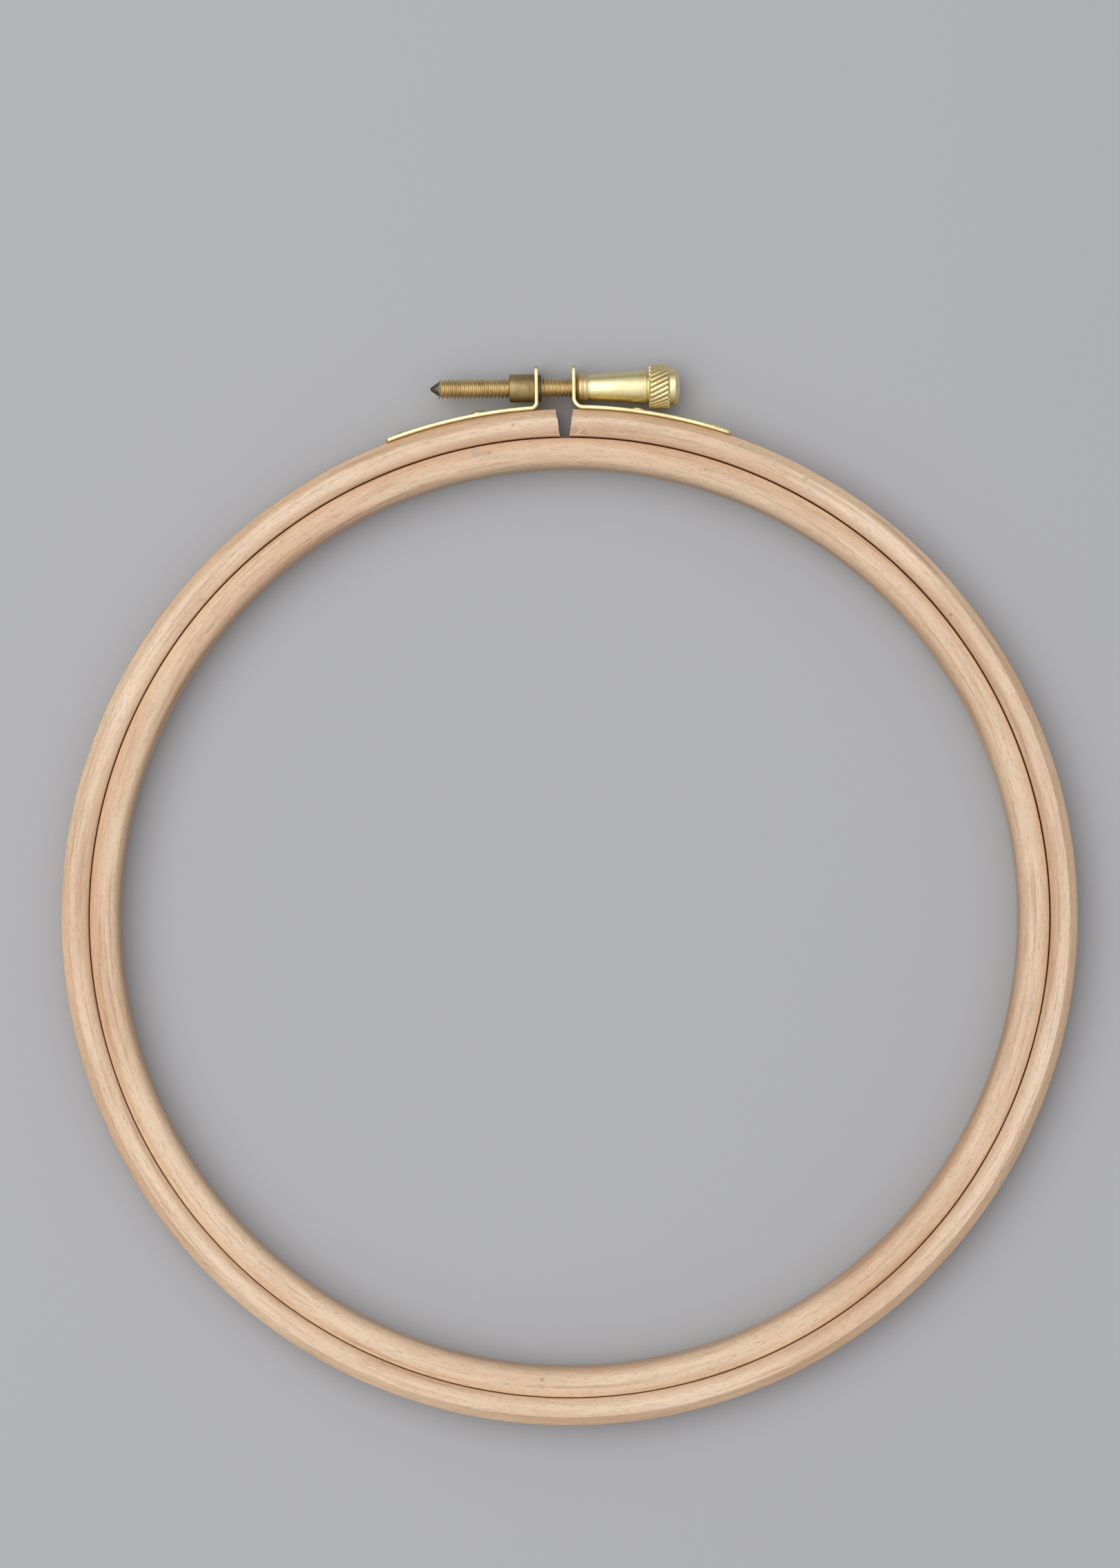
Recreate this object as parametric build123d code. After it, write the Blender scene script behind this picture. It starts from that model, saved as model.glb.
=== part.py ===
from build123d import *
import math
import os

# A wooden embroidery hoop with a brass clamp screw, in millimetres.
# The inner ring drops into a split outer ring. A bent brass bracket is nailed to each end of the
# split ring. The left ear carries a swaged barrel nut, and the screw passes through the right ear.
# Origin: the ring centre at half the ring height. +Z is the hoop's axis, the split is at +Y, and
# the screw lies along X with its knurled head at +X.

# Rings
inner_ring_diameter = 152.4
inner_ring_wall = 4.6
outer_ring_wall = 4.4
ring_height = 8.0
seam_clearance = 0.25
inner_ring_bore_edge = 1.3
inner_ring_seam_edge = 0.7
outer_ring_seam_edge = 0.5
outer_ring_outside_facet = 1.5
edge_wall_share = 0.45

# Split in the outer ring
split_width_outside = 2.8
split_width_inside = 1.5

# Brackets
strip_thickness = 0.6
strip_inset = 0.65
strip_seat_clearance = 0.03
left_ear_offset = 4.4
right_ear_offset = 1.55
left_bend_radius = 0.6
right_bend_radius = 1.2
left_band_length = 24.6
right_band_length = 25.4
ear_rise = 3.36
ear_corner_radius = 0.8
tip_corner_radius = 1.0

# Nails
nail_head_diameter = 2.6
nail_head_height = 0.6
nail_rim_height = 0.18
nail_shank_diameter = 1.2
nail_point_length = 0.9
nail_cover = 1.0
nail_hole_clearance = 0.02
tip_to_outer_nail = 3.1
tip_to_inner_nail = 15.2

# Screw thread, a rounded form
thread_diameter = 3.175
thread_pitch = 0.635
thread_depth_share = 0.6403
thread_clearance = 0.08
shank_length = 21.8
point_length = 1.45
point_tip_radius = 0.3
point_shoulder = 0.05
ear_hole_clearance = 0.15

# Screw head
head_gap = 0.05
collar_diameter = 4.53
collar_bevel = 0.2
collar_length = 1.83
collar_beads = 2
bead_height = 0.07
groove_length = 0.26
groove_depth = 0.3
taper_start_step = 0.2
taper_length = 9.19
taper_end_step = 0.77
neck_length = 0.32
neck_depth = 0.3
knurl_table_clearance = 0.48
knurl_band_clearance = 0.55
knurl_length = 3.28
knurl_ridges = 25
knurl_depth = 0.32
knurl_helix_angle = 25.0
boss_step = 0.57
boss_length = 1.0
dome_height = 0.69

# Barrel nut
nut_wall = 0.66
nut_length = 4.05
nut_edge = 0.2
spigot_wall = 0.35
flange_lip = 0.25
flange_thickness = 0.44

# Cuts run this far past what they cut
cut_overrun = 1.0

# Rings, worked out
inner_ring_outer_radius = inner_ring_diameter / 2
bore_radius = inner_ring_outer_radius - inner_ring_wall
split_ring_inner_radius = inner_ring_outer_radius + seam_clearance
outer_radius = split_ring_inner_radius + outer_ring_wall

# Brackets, worked out
seat_radius = outer_radius + strip_seat_clearance
band_radius = seat_radius + strip_thickness
strip_width = ring_height - 2 * strip_inset

bracket_sizes = {
    -1: (left_ear_offset, left_bend_radius, left_band_length),
    1: (right_ear_offset, right_bend_radius, right_band_length),
}

# Nails, worked out
nail_length = band_radius - split_ring_inner_radius - nail_cover
nail_shank_radius = nail_shank_diameter / 2
nail_hole_radius = nail_shank_radius + nail_hole_clearance

# Screw, worked out
collar_radius = collar_diameter / 2
knurl_radius = ring_height / 2 - knurl_table_clearance
knurl_core_radius = knurl_radius - knurl_depth
thread_radius = thread_diameter / 2
thread_depth = thread_depth_share * thread_pitch
thread_mean_radius = thread_radius - thread_depth / 2
thread_root_radius = thread_radius - thread_depth
head_start = right_ear_offset + strip_thickness / 2 + head_gap
shank_end = head_start - shank_length
taper_start = head_start + collar_length + groove_length
knurl_start = taper_start + taper_length + neck_length
knurl_end = knurl_start + knurl_length
band_height_at_knurl = math.sqrt(band_radius**2 - knurl_start**2)
screw_height = band_height_at_knurl + knurl_band_clearance + knurl_radius
screw_frame = Plane(origin=(0, screw_height, 0), x_dir=(0, 1, 0), z_dir=(1, 0, 0))

# Bends, worked out: each is a quarter turn whose centre stands off the ring by its outer radius
bend_reach = {side: seat_radius + bend + strip_thickness for side, (_, bend, _) in bracket_sizes.items()}
bend_start = {
    side: math.asin((ear + strip_thickness / 2 + bend) / bend_reach[side])
    for side, (ear, bend, _) in bracket_sizes.items()
}
flat_ear_height = {side: bend_reach[side] * math.cos(bend_start[side]) for side in bend_reach}

# The head bears on the flat of the right ear, and is bevelled back to clear the bend
bearing_radius = min(collar_radius - collar_bevel, screw_height - flat_ear_height[1])

# Nut, worked out
spigot_radius = thread_radius + spigot_wall
nut_radius = thread_radius + nut_wall
flange_radius = spigot_radius + flange_lip
nut_seat = -left_ear_offset - strip_thickness / 2
flange_seat = -left_ear_offset + strip_thickness / 2


def around(angle, radius, centre=(0, 0)):
    """A point at an angle in radians from +Y towards +X, at a radius from a centre."""
    return (centre[0] + radius * math.sin(angle), centre[1] + radius * math.cos(angle))


def arc(start, end, radius, centre=(0, 0)):
    """An arc between two angles from +Y."""
    middle = (start + end) / 2
    return ThreePointArc(*(around(angle, radius, centre) for angle in (start, middle, end)))


def turned(edges):
    """A solid turned about Z from an outline of radius against height."""
    return revolve(Plane.XZ * make_face(edges), axis=Axis.Z)


def ring(inner_radius, wall, inner_edge, outer_edge, outer_finish=fillet):
    """A ring whose section is a rectangle with rounded inner edges, and rounded or bevelled outer ones."""
    section = Pos(inner_radius + wall / 2, 0) * Rectangle(wall, ring_height)
    for side, edge, finish in ((0, inner_edge, fillet), (-1, outer_edge, outer_finish)):
        corners = section.vertices().group_by(Axis.X)[side]
        section = finish(corners, min(edge, edge_wall_share * wall))
    return revolve(Plane.XZ * section, axis=Axis.Z)


def twisted_stack(section, length, turn, steps=1):
    """A section across Z, drawn out along Z and turned by degrees, in equal steps of one face each."""
    rise = length / steps
    first = Solid.extrude_linear_with_rotation(section, (0, 0, 0), (0, 0, rise), turn / steps)
    floor, *walls, roof = first.faces().sort_by(Axis.Z)
    places = [Pos(0, 0, rise * step) * Rot(0, 0, turn / steps * step) for step in range(steps)]
    sides = [place * wall for place in places for wall in walls]
    return Solid(Shell([floor, *sides, places[-1] * roof]))


def nail_angles(side):
    """The angles from +Y of one bracket's outer and inner nails."""
    ear, _, length = bracket_sizes[side]
    tip = ear + length
    return [side * (tip - back) / seat_radius for back in (tip_to_outer_nail, tip_to_inner_nail)]


def nail_frame(angle):
    """A plane on the band at an angle from +Y, with its normal pointing out of the ring."""
    x, y = around(angle, band_radius)
    return Plane(origin=(x, y, 0), x_dir=(0, 0, 1), z_dir=(x, y, 0))


def nail_hole(angle, above):
    """The drill for one nail, from above the band down to just past the nail's point."""
    depth = nail_length + nail_hole_clearance
    hole = Cylinder(nail_hole_radius, depth + above, align=(Align.CENTER, Align.CENTER, Align.MAX))
    return nail_frame(angle) * Pos(0, 0, above) * hole


def make_inner_ring():
    return ring(bore_radius, inner_ring_wall, inner_ring_bore_edge, inner_ring_seam_edge)


def make_outer_ring():
    """The split ring: a ring with a gap that narrows inwards, and the nails' blind holes."""
    edges = (outer_ring_seam_edge, outer_ring_outside_facet, chamfer)
    wood = ring(split_ring_inner_radius, outer_ring_wall, *edges)
    slope = (split_width_outside - split_width_inside) / 2 / outer_ring_wall
    low = split_ring_inner_radius - cut_overrun
    high = outer_radius + cut_overrun
    half_low = split_width_inside / 2 - slope * cut_overrun
    half_high = split_width_outside / 2 + slope * cut_overrun
    corners = [(-half_low, low), (half_low, low), (half_high, high), (-half_high, high)]
    gap = extrude(make_face(Polyline(*corners, close=True)), ring_height, both=True)
    holes = [nail_hole(angle, cut_overrun) for side in bracket_sizes for angle in nail_angles(side)]
    return wood - gap - holes


def make_bracket(side):
    """A strip bent up into an ear: drawn for the right side, and mirrored for the left."""
    ear, bend, length = bracket_sizes[side]
    gap_face = ear - strip_thickness / 2
    head_face = ear + strip_thickness / 2
    ear_top = screw_height + ear_rise
    start = bend_start[side]
    centre = around(start, bend_reach[side])
    tip = (ear + length) / seat_radius
    left_of_bend = math.radians(270)
    foot_of_bend = math.radians(180) + start
    outline = [
        Line((gap_face, ear_top), (gap_face, centre[1])),
        arc(left_of_bend, foot_of_bend, bend + strip_thickness, centre),
        arc(start, tip, seat_radius),
        Line(around(tip, seat_radius), around(tip, band_radius)),
        arc(tip, start, band_radius),
        arc(foot_of_bend, left_of_bend, bend, centre),
        Line((head_face, centre[1]), (head_face, ear_top)),
        Line((head_face, ear_top), (gap_face, ear_top)),
    ]
    strip = extrude(make_face(outline), strip_width / 2, both=True)
    tip_x, tip_y = around(tip, (seat_radius + band_radius) / 2)
    corners = (
        ((tip_x, tip_y), tip_corner_radius),
        ((ear, ear_top), ear_corner_radius),
    )
    for (x, y), radius in corners:
        near = [Vertex(x, y, level * strip_width / 2) for level in (-1, 1)]
        strip = fillet([strip.edges().sort_by_distance(point)[0] for point in near], radius)
    hole_radius = {
        -1: spigot_radius + nail_hole_clearance,
        1: thread_radius + ear_hole_clearance,
    }[side]
    strip -= screw_frame * Pos(0, 0, ear) * Cylinder(hole_radius, 2 * strip_thickness)
    if side < 0:
        strip = mirror(strip, about=Plane.YZ)
    return strip - [nail_hole(angle, cut_overrun) for angle in nail_angles(side)]


def make_nail(angle):
    """A domed brass nail, driven through the band into the wood."""
    head_radius = nail_head_diameter / 2
    point_start = nail_point_length - nail_length
    outline = [
        TangentArc((0, nail_head_height), (head_radius, nail_rim_height), tangent=(1, 0)),
        Polyline(
            (head_radius, nail_rim_height),
            (head_radius, 0),
            (nail_shank_radius, 0),
            (nail_shank_radius, point_start),
            (0, -nail_length),
            (0, nail_head_height),
        ),
    ]
    return nail_frame(angle) * turned(outline)


def threaded_rod(start, end, extra=0.0):
    """A right-hand thread along Z: an off-centre circle, drawn out and turned once a pitch."""
    section = Face(Wire.make_circle(thread_mean_radius + extra, Plane(origin=(thread_depth / 2, 0, 0))))
    turns = (end - start) / thread_pitch
    rod = twisted_stack(section, end - start, 360 * turns, math.ceil(turns))
    return Pos(0, 0, start) * Rot(0, 0, 360 * start / thread_pitch) * rod


def screw_point():
    """The cone at the shank's end, with a small rounded tip."""
    base_radius = thread_root_radius - point_shoulder
    tip_height = point_tip_radius / 2
    outline = [
        TangentArc((0, -point_length), (point_tip_radius, tip_height - point_length), tangent=(1, 0)),
        Polyline(
            (point_tip_radius, tip_height - point_length),
            (base_radius, 0),
            (0, 0),
            (0, -point_length),
        ),
    ]
    return Pos(0, 0, shank_end) * turned(outline)


def head_core():
    """The turned head without its knurl: a beaded collar, a long taper, a neck, a boss and a dome."""
    bevel_end = head_start + collar_radius - bearing_radius
    collar_end = head_start + collar_length
    bead_length = (collar_end - bevel_end) / collar_beads
    beads = []
    for bead in range(collar_beads):
        foot = bevel_end + bead * bead_length
        beads.append(
            ThreePointArc(
                (collar_radius, foot),
                (collar_radius + bead_height, foot + bead_length / 2),
                (collar_radius, foot + bead_length),
            )
        )
    taper_end = knurl_start - neck_length
    groove_radius = collar_radius - groove_depth
    taper_start_radius = collar_radius - taper_start_step
    taper_end_radius = knurl_radius - taper_end_step
    neck_radius = taper_end_radius - neck_depth
    boss_radius = knurl_radius - boss_step
    boss_end = knurl_end + boss_length
    outline = [
        Polyline((0, head_start), (bearing_radius, head_start), (collar_radius, bevel_end)),
        *beads,
        Polyline(
            (collar_radius, collar_end),
            (groove_radius, collar_end),
            (groove_radius, taper_start),
            (taper_start_radius, taper_start),
            (taper_end_radius, taper_end),
            (neck_radius, taper_end),
            (neck_radius, knurl_end),
            (boss_radius, knurl_end),
            (boss_radius, boss_end),
        ),
        TangentArc((0, boss_end + dome_height), (boss_radius, boss_end), tangent=(1, 0)),
        Line((0, boss_end + dome_height), (0, head_start)),
    ]
    return turned(outline)


def knurl():
    """A band of slanting ridges."""
    step = math.pi / knurl_ridges
    points = [
        around(step * count, knurl_core_radius if count % 2 else knurl_radius)
        for count in range(2 * knurl_ridges)
    ]
    section = make_face(Polyline(*points, close=True)).face()
    lean = math.tan(math.radians(knurl_helix_angle)) * knurl_length / knurl_radius
    return Pos(0, 0, knurl_start) * twisted_stack(section, knurl_length, -math.degrees(lean))


def make_clamp_screw():
    """The screw, turned from one bar: point, threaded shank and knurled head."""
    shank = threaded_rod(shank_end, head_start)
    return screw_frame * (shank + [screw_point(), head_core(), knurl()])


def make_barrel_nut():
    """The threaded barrel, its spigot through the left ear, and the rim swaged over it."""
    start = nut_seat - nut_length
    end = flange_seat + flange_thickness
    outline = Polyline(
        (0, start),
        (nut_radius - nut_edge, start),
        (nut_radius, start + nut_edge),
        (nut_radius, nut_seat),
        (spigot_radius, nut_seat),
        (spigot_radius, flange_seat),
        (flange_radius, flange_seat),
        (flange_radius, end),
        (0, end),
        close=True,
    )
    return screw_frame * (turned(outline) - threaded_rod(start, end, thread_clearance))


nodes = {
    "outer_ring": make_outer_ring(),
    "inner_ring": make_inner_ring(),
    "left_bracket": make_bracket(-1),
    "right_bracket": make_bracket(1),
    "barrel_nut": make_barrel_nut(),
    "clamp_screw": make_clamp_screw(),
}
for side, name in ((-1, "left"), (1, "right")):
    outer_angle, inner_angle = nail_angles(side)
    nodes[name + "_outer_nail"] = make_nail(outer_angle)
    nodes[name + "_inner_nail"] = make_nail(inner_angle)

os.makedirs("parts", exist_ok=True)
for name, shape in nodes.items():
    export_step(shape, "parts/" + name + ".step")
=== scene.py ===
import bmesh
import bpy
import math
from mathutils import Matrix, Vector


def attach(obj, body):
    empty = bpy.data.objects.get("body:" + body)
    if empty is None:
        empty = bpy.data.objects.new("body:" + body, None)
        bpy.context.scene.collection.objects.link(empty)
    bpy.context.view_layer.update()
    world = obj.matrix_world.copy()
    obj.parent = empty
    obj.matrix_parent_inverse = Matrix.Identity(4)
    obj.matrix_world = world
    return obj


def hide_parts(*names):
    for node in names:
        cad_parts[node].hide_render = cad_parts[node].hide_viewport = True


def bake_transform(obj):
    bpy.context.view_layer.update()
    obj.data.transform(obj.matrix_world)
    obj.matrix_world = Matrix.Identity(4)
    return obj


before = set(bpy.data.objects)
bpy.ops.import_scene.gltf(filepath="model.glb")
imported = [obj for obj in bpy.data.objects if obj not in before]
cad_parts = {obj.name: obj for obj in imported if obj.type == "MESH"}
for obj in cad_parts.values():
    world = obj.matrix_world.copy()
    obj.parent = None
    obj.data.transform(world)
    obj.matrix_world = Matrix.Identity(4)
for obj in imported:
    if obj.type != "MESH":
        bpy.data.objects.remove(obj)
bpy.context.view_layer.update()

# A beech embroidery hoop with a brass clamp screw. It lies flat with its axis on Z, its split at +Y
# and its screw along X. Lengths are in metres.
mm = 0.001
merge_distance = 0.002 * mm

# Rings
bore_radius = 71.6 * mm
inner_ring_radius = 76.225 * mm
split_ring_inner_radius = 76.425 * mm
outer_radius = 80.85 * mm
half_height = 4.0 * mm
crown = 0.18 * mm
facet = 1.5 * mm
facet_drop = 0.05 * mm
bore_rounding = 1.3 * mm
seam_rounding = 0.3 * mm
facet_rounding = 0.3 * mm
outside_rounding = 0.5 * mm
ring_steps = 480
section_spacing = 0.8 * mm

# The rings' crests: how far each lies from its bore or facet, and how it is rounded
inner_crest = 2.3 * mm
inner_crest_rounding = 12.0 * mm
outer_crest = 0.6 * mm
outer_crest_rounding = 9.0 * mm

# The inner ring rests a little low in the split ring, so the seam is widest beside the screw
inner_ring_rest = (-0.02 * mm, -0.05 * mm, 0)

# The split narrows towards the inner ring, and its sawn ends are a little hollow and rough
split_outside = 1.4 * mm
split_inside = 0.75 * mm
sawn_hollow = 0.2 * mm
sawn_roughness = 0.1 * mm

# Torn fibres beside the split, as places and the radius at each, in millimetres
splinters = {
    "long_splinter": [
        (1.75, 76.7, 3.9, 0.1),
        (2.3, 76.98, 4.1, 0.11),
        (2.9, 77.32, 4.16, 0.08),
        (3.4, 77.56, 4.04, 0.02),
    ],
    "short_splinter": [
        (1.9, 76.74, 3.9, 0.09),
        (2.6, 76.64, 4.06, 0.09),
        (3.2, 76.54, 4.08, 0.06),
        (3.7, 76.5, 3.95, 0.02),
    ],
}

# Brackets
strip = 0.6 * mm
seat_radius = outer_radius + 0.03 * mm
band_radius = seat_radius + strip
strip_half_width = 3.35 * mm
strip_softening = 0.13 * mm
tip_rounding = 1.0 * mm
ear_rounding = 0.8 * mm
ear_top = 87.784 * mm
brackets = {
    "left": dict(side=-1, ear=4.4 * mm, bend=0.6 * mm, length=24.6 * mm, hole=1.96 * mm),
    "right": dict(side=1, ear=1.55 * mm, bend=1.2 * mm, length=25.4 * mm, hole=1.74 * mm),
}
bend_steps = 12
band_steps = 40
corner_reach = 0.05 * mm

# Nails, set back from each band's tip, and each leaning a little in turn
nail_backs = {"outer": 3.1 * mm, "inner": 15.2 * mm}
nail_leans = (0.05, -0.04, 0.03, -0.06)
nail_head_radius = 1.3 * mm
nail_head_height = 0.6 * mm
nail_rim = 0.18 * mm
nail_edge = 0.05 * mm
nail_shank_radius = 0.6 * mm
nail_length = 4.03 * mm
nail_point = 0.9 * mm

# Nut, along X, with a spigot through the left ear and a rim behind it
nut_start = -8.75 * mm
nut_seat = -4.7 * mm
nut_radius = 2.2475 * mm
nut_bore = 1.69 * mm
nut_edge = 0.22 * mm
nut_seat_edge = 0.1 * mm
nut_mouth_depth = 0.3 * mm
nut_mouth_width = 0.22 * mm
mouth_edge = 0.05 * mm
spigot_radius = 1.94 * mm
rim_start = -4.1 * mm
rim_end = -3.66 * mm
rim_radius = 2.19 * mm
rim_end_radius = 2.12 * mm
rim_edge = 0.12 * mm
rim_end_edge = 0.16 * mm
rim_mouth_depth = 0.2 * mm
rim_mouth_width = 0.1 * mm

# Screw: shank and point
screw_height = 84.4238 * mm
screw_centre = (0, screw_height, 0)
pitch = 0.635 * mm
thread_radius = 1.5875 * mm
thread_depth = 0.4066 * mm
thread_turns = 36
thread_steps = 36
thread_points = 10
shank_end = -19.9 * mm
shank_overlap = 0.5 * mm
point_length = 1.45 * mm
point_inset = 0.05 * mm
point_shoulder = 0.1 * mm
point_flare = 0.02 * mm
point_overlap = 0.3 * mm
blunt_tip = [(0.04 * mm, 0.18 * mm), (0.15 * mm, 0.3 * mm)]

# Screw: head
head_start = 1.9 * mm
head_face_radius = 1.8 * mm
collar_radius = 2.265 * mm
collar_bevel = 0.465 * mm
collar_length = 1.83 * mm
bead_height = 0.04 * mm
groove_depth = 0.3 * mm
groove_slant = 0.02 * mm
groove_rounding = 0.04 * mm
taper_start = 3.99 * mm
taper_end = 13.18 * mm
taper_start_rounding = 0.08 * mm
taper_end_rounding = 0.12 * mm
neck_rounding = 0.05 * mm
boss_length = 0.95 * mm
dome_start = 1.05 * mm
dome_height = 0.64 * mm

# How far the head's parts lie below the collar or the knurl
taper_below_collar = 0.2 * mm
taper_below_knurl = 0.77 * mm
neck_below_knurl = 1.07 * mm
boss_below_knurl = 0.57 * mm
dome_below_knurl = 0.8 * mm

# Screw: knurl, its ridges slanting by the lean from end to end
knurl_start = 13.5 * mm
knurl_end = 16.78 * mm
knurl_radius = 3.52 * mm
knurl_depth = 0.32 * mm
knurl_ridges = 25
knurl_lean = math.radians(29.0)
knurl_bevel = 0.25 * mm
knurl_bevel_depth = 0.24 * mm
knurl_runs = 8
ridge_points = 5
ridge_shoulder_share = 0.2
groove_floor_share = 0.4


# Modelling helpers

def alone(piece):
    """Makes a piece the only one selected."""
    bpy.ops.object.select_all(action="DESELECT")
    piece.select_set(True)
    bpy.context.view_layer.objects.active = piece


def edit(piece):
    """Opens a piece in edit mode with all of it selected."""
    alone(piece)
    bpy.ops.object.mode_set(mode="EDIT")
    bpy.ops.mesh.select_mode(type="VERT")
    bpy.ops.mesh.select_all(action="SELECT")


def leave():
    """Back to object mode."""
    bpy.ops.object.mode_set(mode="OBJECT")


def pick(level, test):
    """Selects, in edit mode, the vertices, edges or faces that pass a test."""
    bpy.ops.mesh.select_mode(type=level)
    bpy.ops.mesh.select_all(action="DESELECT")
    shape = bmesh.from_edit_mesh(bpy.context.object.data)
    members = {"VERT": shape.verts, "EDGE": shape.edges, "FACE": shape.faces}[level]
    for member in list(members):
        if test(member):
            member.select_set(True)
    shape.select_flush_mode()
    bmesh.update_edit_mesh(bpy.context.object.data)


def extrude(step):
    """Extrudes what is selected, in edit mode, by a step."""
    bpy.ops.mesh.extrude_region_move(TRANSFORM_OT_translate={"value": step})


def tidy_faces():
    """Joins doubled vertices and turns the faces outwards, in edit mode."""
    bpy.ops.mesh.select_all(action="SELECT")
    bpy.ops.mesh.remove_doubles(threshold=merge_distance)
    bpy.ops.mesh.normals_make_consistent(inside=False)


def apply(piece, kind, **settings):
    """Adds a modifier to a piece and applies it."""
    alone(piece)
    modifier = piece.modifiers.new(kind.lower(), kind)
    for name, value in settings.items():
        setattr(modifier, name, value)
    bpy.ops.object.modifier_apply(modifier=modifier.name)


def smooth(piece, degrees):
    """Shades a piece smooth, apart from its edges sharper than an angle."""
    alone(piece)
    bpy.ops.object.shade_smooth_by_angle(angle=math.radians(degrees))


def settle(piece):
    """Puts a piece's place and turn into its mesh."""
    alone(piece)
    bpy.ops.object.transform_apply(location=True, rotation=True, scale=True)


def refinish(piece, finish, test):
    """Gives the faces of a piece that pass a test a finish of their own."""
    piece.data.materials.append(finish)
    edit(piece)
    pick("FACE", test)
    piece.active_material_index = len(piece.data.materials) - 1
    bpy.ops.object.material_slot_assign()
    leave()


def joined(name, pieces):
    """Several meshes made one piece."""
    alone(pieces[0])
    for piece in pieces[1:]:
        piece.select_set(True)
    bpy.ops.object.join()
    pieces[0].name = name
    return pieces[0]


def eased(corners, steps=5):
    """An outline through corners given as two coordinates and the radius that rounds them."""
    points = []
    for index, (x, y, radius) in enumerate(corners):
        corner = Vector((x, y, 0))
        if not radius:
            points.append(corner)
            continue
        before = (Vector((*corners[index - 1][:2], 0)) - corner).normalized()
        after = (Vector((*corners[(index + 1) % len(corners)][:2], 0)) - corner).normalized()
        half = before.angle(after) / 2
        reach = radius / math.tan(half)
        centre = corner + (before + after).normalized() * radius / math.sin(half)
        start = corner + before * reach - centre
        end = corner + after * reach - centre
        for step in range(steps + 1):
            points.append(centre + start.slerp(end, step / steps).normalized() * radius)
    return points


def closer(points, spacing):
    """The same closed outline with further points on its long runs."""
    found = []
    for here, there in zip(points, points[1:] + points[:1]):
        count = max(1, round((there - here).length / spacing))
        found += [here.lerp(there, step / count) for step in range(count)]
    return found


def traced(name, points, closed=False):
    """A line of edges: a plane merged to one vertex, then extruded from point to point."""
    bpy.ops.object.select_all(action="DESELECT")
    bpy.ops.mesh.primitive_plane_add(size=mm)
    line = bpy.context.object
    line.name = name
    edit(line)
    bpy.ops.mesh.merge(type="CENTER")
    bpy.ops.transform.translate(value=points[0])
    ends = points[1:] + points[:1] if closed else points[1:]
    for here, there in zip(points, ends):
        extrude(there - here)
    tidy_faces()
    leave()
    return line


def spun(piece, steps, axis="Z", angle=math.tau):
    """Spins an outline round one of its axes into a surface."""
    settings = dict(axis=axis, angle=angle, steps=steps, render_steps=steps)
    apply(piece, "SCREW", **settings, use_merge_vertices=True, merge_threshold=merge_distance)
    edit(piece)
    tidy_faces()
    leave()
    return piece


def turned(name, outline, steps, closed=False):
    """A piece turned about the screw's axis, from an outline of length along X against radius."""
    points = [Vector((x, radius, 0)) for x, radius in outline]
    piece = spun(traced(name, points, closed), steps, "X")
    piece.location = screw_centre
    settle(piece)
    return piece


def outline_along(corners):
    """An open outline along the screw, its corners given as length, radius and rounding."""
    return [(point.x, point.y) for point in eased(corners, 3)]


def around(angle, radius, centre=(0, 0)):
    """A point at an angle from +Y towards +X, at a radius from a centre."""
    return Vector((centre[0] + radius * math.sin(angle), centre[1] + radius * math.cos(angle), 0))


def sweep(start, end, radius, centre, steps):
    """Points along an arc."""
    return [around(start + (end - start) * step / steps, radius, centre) for step in range(steps + 1)]


# Shader helpers

def screen(red, green, blue):
    """A colour as it looks on screen, from 0 to 255, in the shader's linear values."""
    shares = [value / 255 for value in (red, green, blue)]
    return (*(s / 12.92 if s < 0.04 else ((s + 0.055) / 1.055) ** 2.4 for s in shares), 1.0)


def feed(tree, node, inputs):
    """Gives a node's inputs their values, or links them to other nodes' outputs."""
    for name, value in inputs.items():
        if isinstance(value, bpy.types.NodeSocket):
            tree.links.new(value, node.inputs[name])
        else:
            node.inputs[name].default_value = value


def add(tree, kind, inputs=None, **settings):
    """A node with its settings and its inputs."""
    node = tree.nodes.new("ShaderNode" + kind)
    for name, value in settings.items():
        setattr(node, name, value)
    feed(tree, node, inputs or {})
    return node


def use(tree, name, inputs):
    """A node group placed in a tree, as its outputs."""
    node = tree.nodes.new("ShaderNodeGroup")
    node.node_tree = bpy.data.node_groups[name]
    feed(tree, node, inputs)
    return node.outputs


def sums(tree, operation, first, second):
    """One sum of two numbers."""
    return add(tree, "Math", {0: first, 1: second}, operation=operation).outputs[0]


def ramp(tree, value, low, high, to_low=0.0, to_high=1.0):
    """A number eased from one span to another."""
    inputs = {0: value, 1: low, 2: high, 3: to_low, 4: to_high}
    return add(tree, "MapRange", inputs, interpolation_type="SMOOTHSTEP").outputs[0]


def blended(tree, share, first, second, way="MIX"):
    """Two colours, mixed or multiplied by a share."""
    node = add(tree, "Mix", {0: share, 6: first, 7: second}, data_type="RGBA", blend_type=way)
    return node.outputs[2]


def group(name, inputs, outputs):
    """An empty node group with its sockets, as a tree with its input and output sockets."""
    tree = bpy.data.node_groups.new(name, "ShaderNodeTree")
    for label, (kind, value) in inputs.items():
        socket = tree.interface.new_socket(name=label, in_out="INPUT", socket_type="NodeSocket" + kind)
        if value is not None:
            socket.default_value = value
    for label, kind in outputs.items():
        tree.interface.new_socket(name=label, in_out="OUTPUT", socket_type="NodeSocket" + kind)
    given = tree.nodes.new("NodeGroupInput").outputs
    result = tree.nodes.new("NodeGroupOutput").inputs
    return tree, given, result


def material(name):
    """A node material, as itself, its tree, its shader and the position it reads."""
    made = bpy.data.materials.new(name)
    made.use_nodes = True
    tree = made.node_tree
    shader = tree.nodes["Principled BSDF"]
    position = add(tree, "TexCoord").outputs["Object"]
    return made, tree, shader, position


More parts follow.
